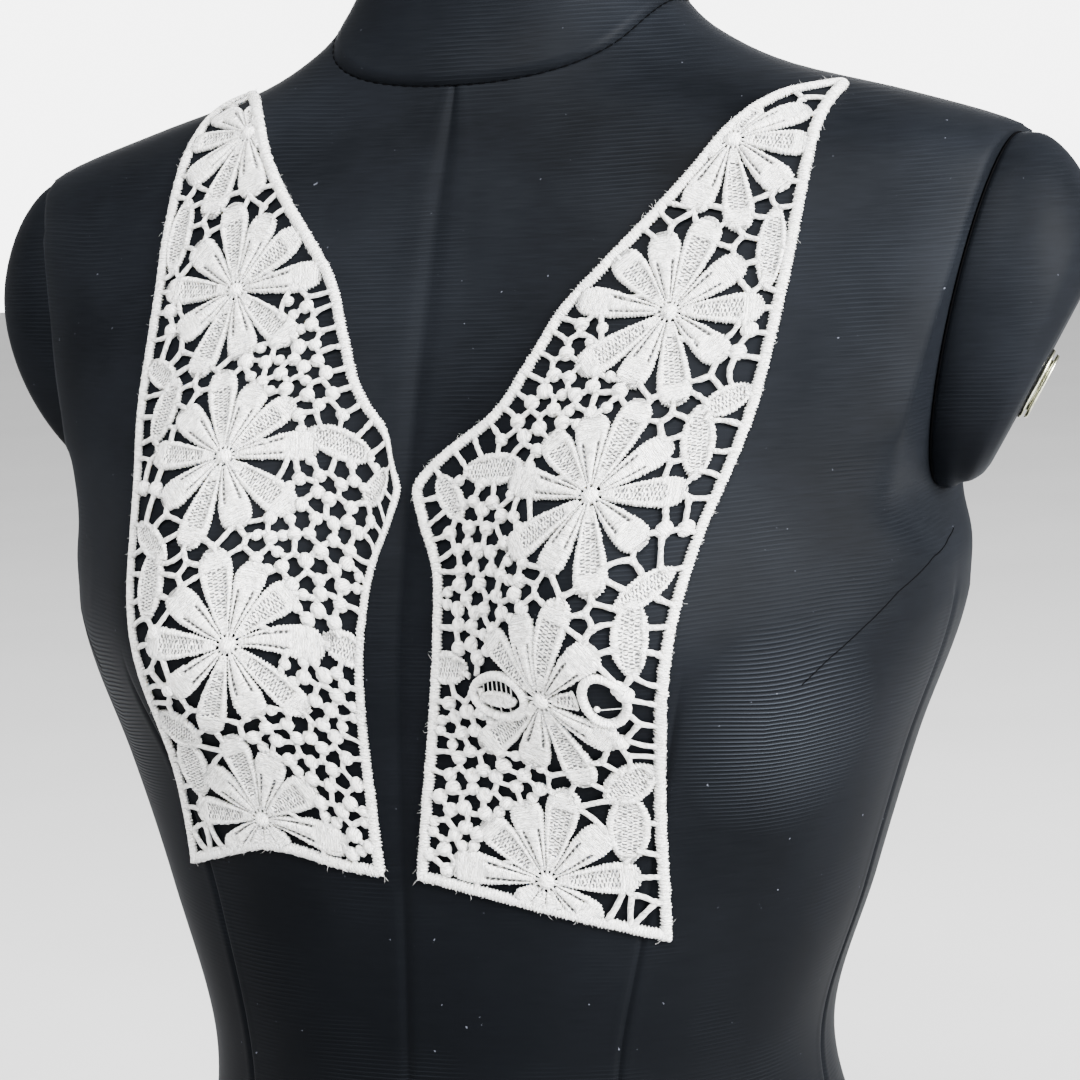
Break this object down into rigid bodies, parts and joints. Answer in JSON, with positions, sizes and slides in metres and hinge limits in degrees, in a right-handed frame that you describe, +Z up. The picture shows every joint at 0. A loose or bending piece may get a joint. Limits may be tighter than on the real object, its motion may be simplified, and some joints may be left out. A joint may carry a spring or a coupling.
{
  "type": "v-neck lace patch on a dress form",
  "caption": "Mirrored pair of off-white floral guipure lace panels, cut through and raised, that lie as a v-neck on a black cloth-covered dress form without limbs.",
  "frame": {"origin": "the middle of the base board's underside, on the plane the form stands on", "axes": "+Z up along the form; -Y is the form's front, where the lace lies; +X is the form's own left side"},
  "size_m": [0.4268, 0.2496, 0.6183],
  "materials": {
    "lace_thread": "matte cotton thread in dense satin stitch",
    "form_cloth": "black fine-ribbed cloth with a soft sheen",
    "arm_plate": "polished pale metal",
    "base_board": "satin black"
  },
  "bodies": {
    "root": {"lace_panel_left": "lace_thread", "lace_panel_right": "lace_thread", "form_torso": "form_cloth", "form_neck": "form_cloth", "form_arm_cap_left": "form_cloth", "form_arm_cap_right": "form_cloth", "form_arm_plate_left": "arm_plate", "form_arm_plate_right": "arm_plate", "form_base": "base_board"}
  },
  "joints": []
}
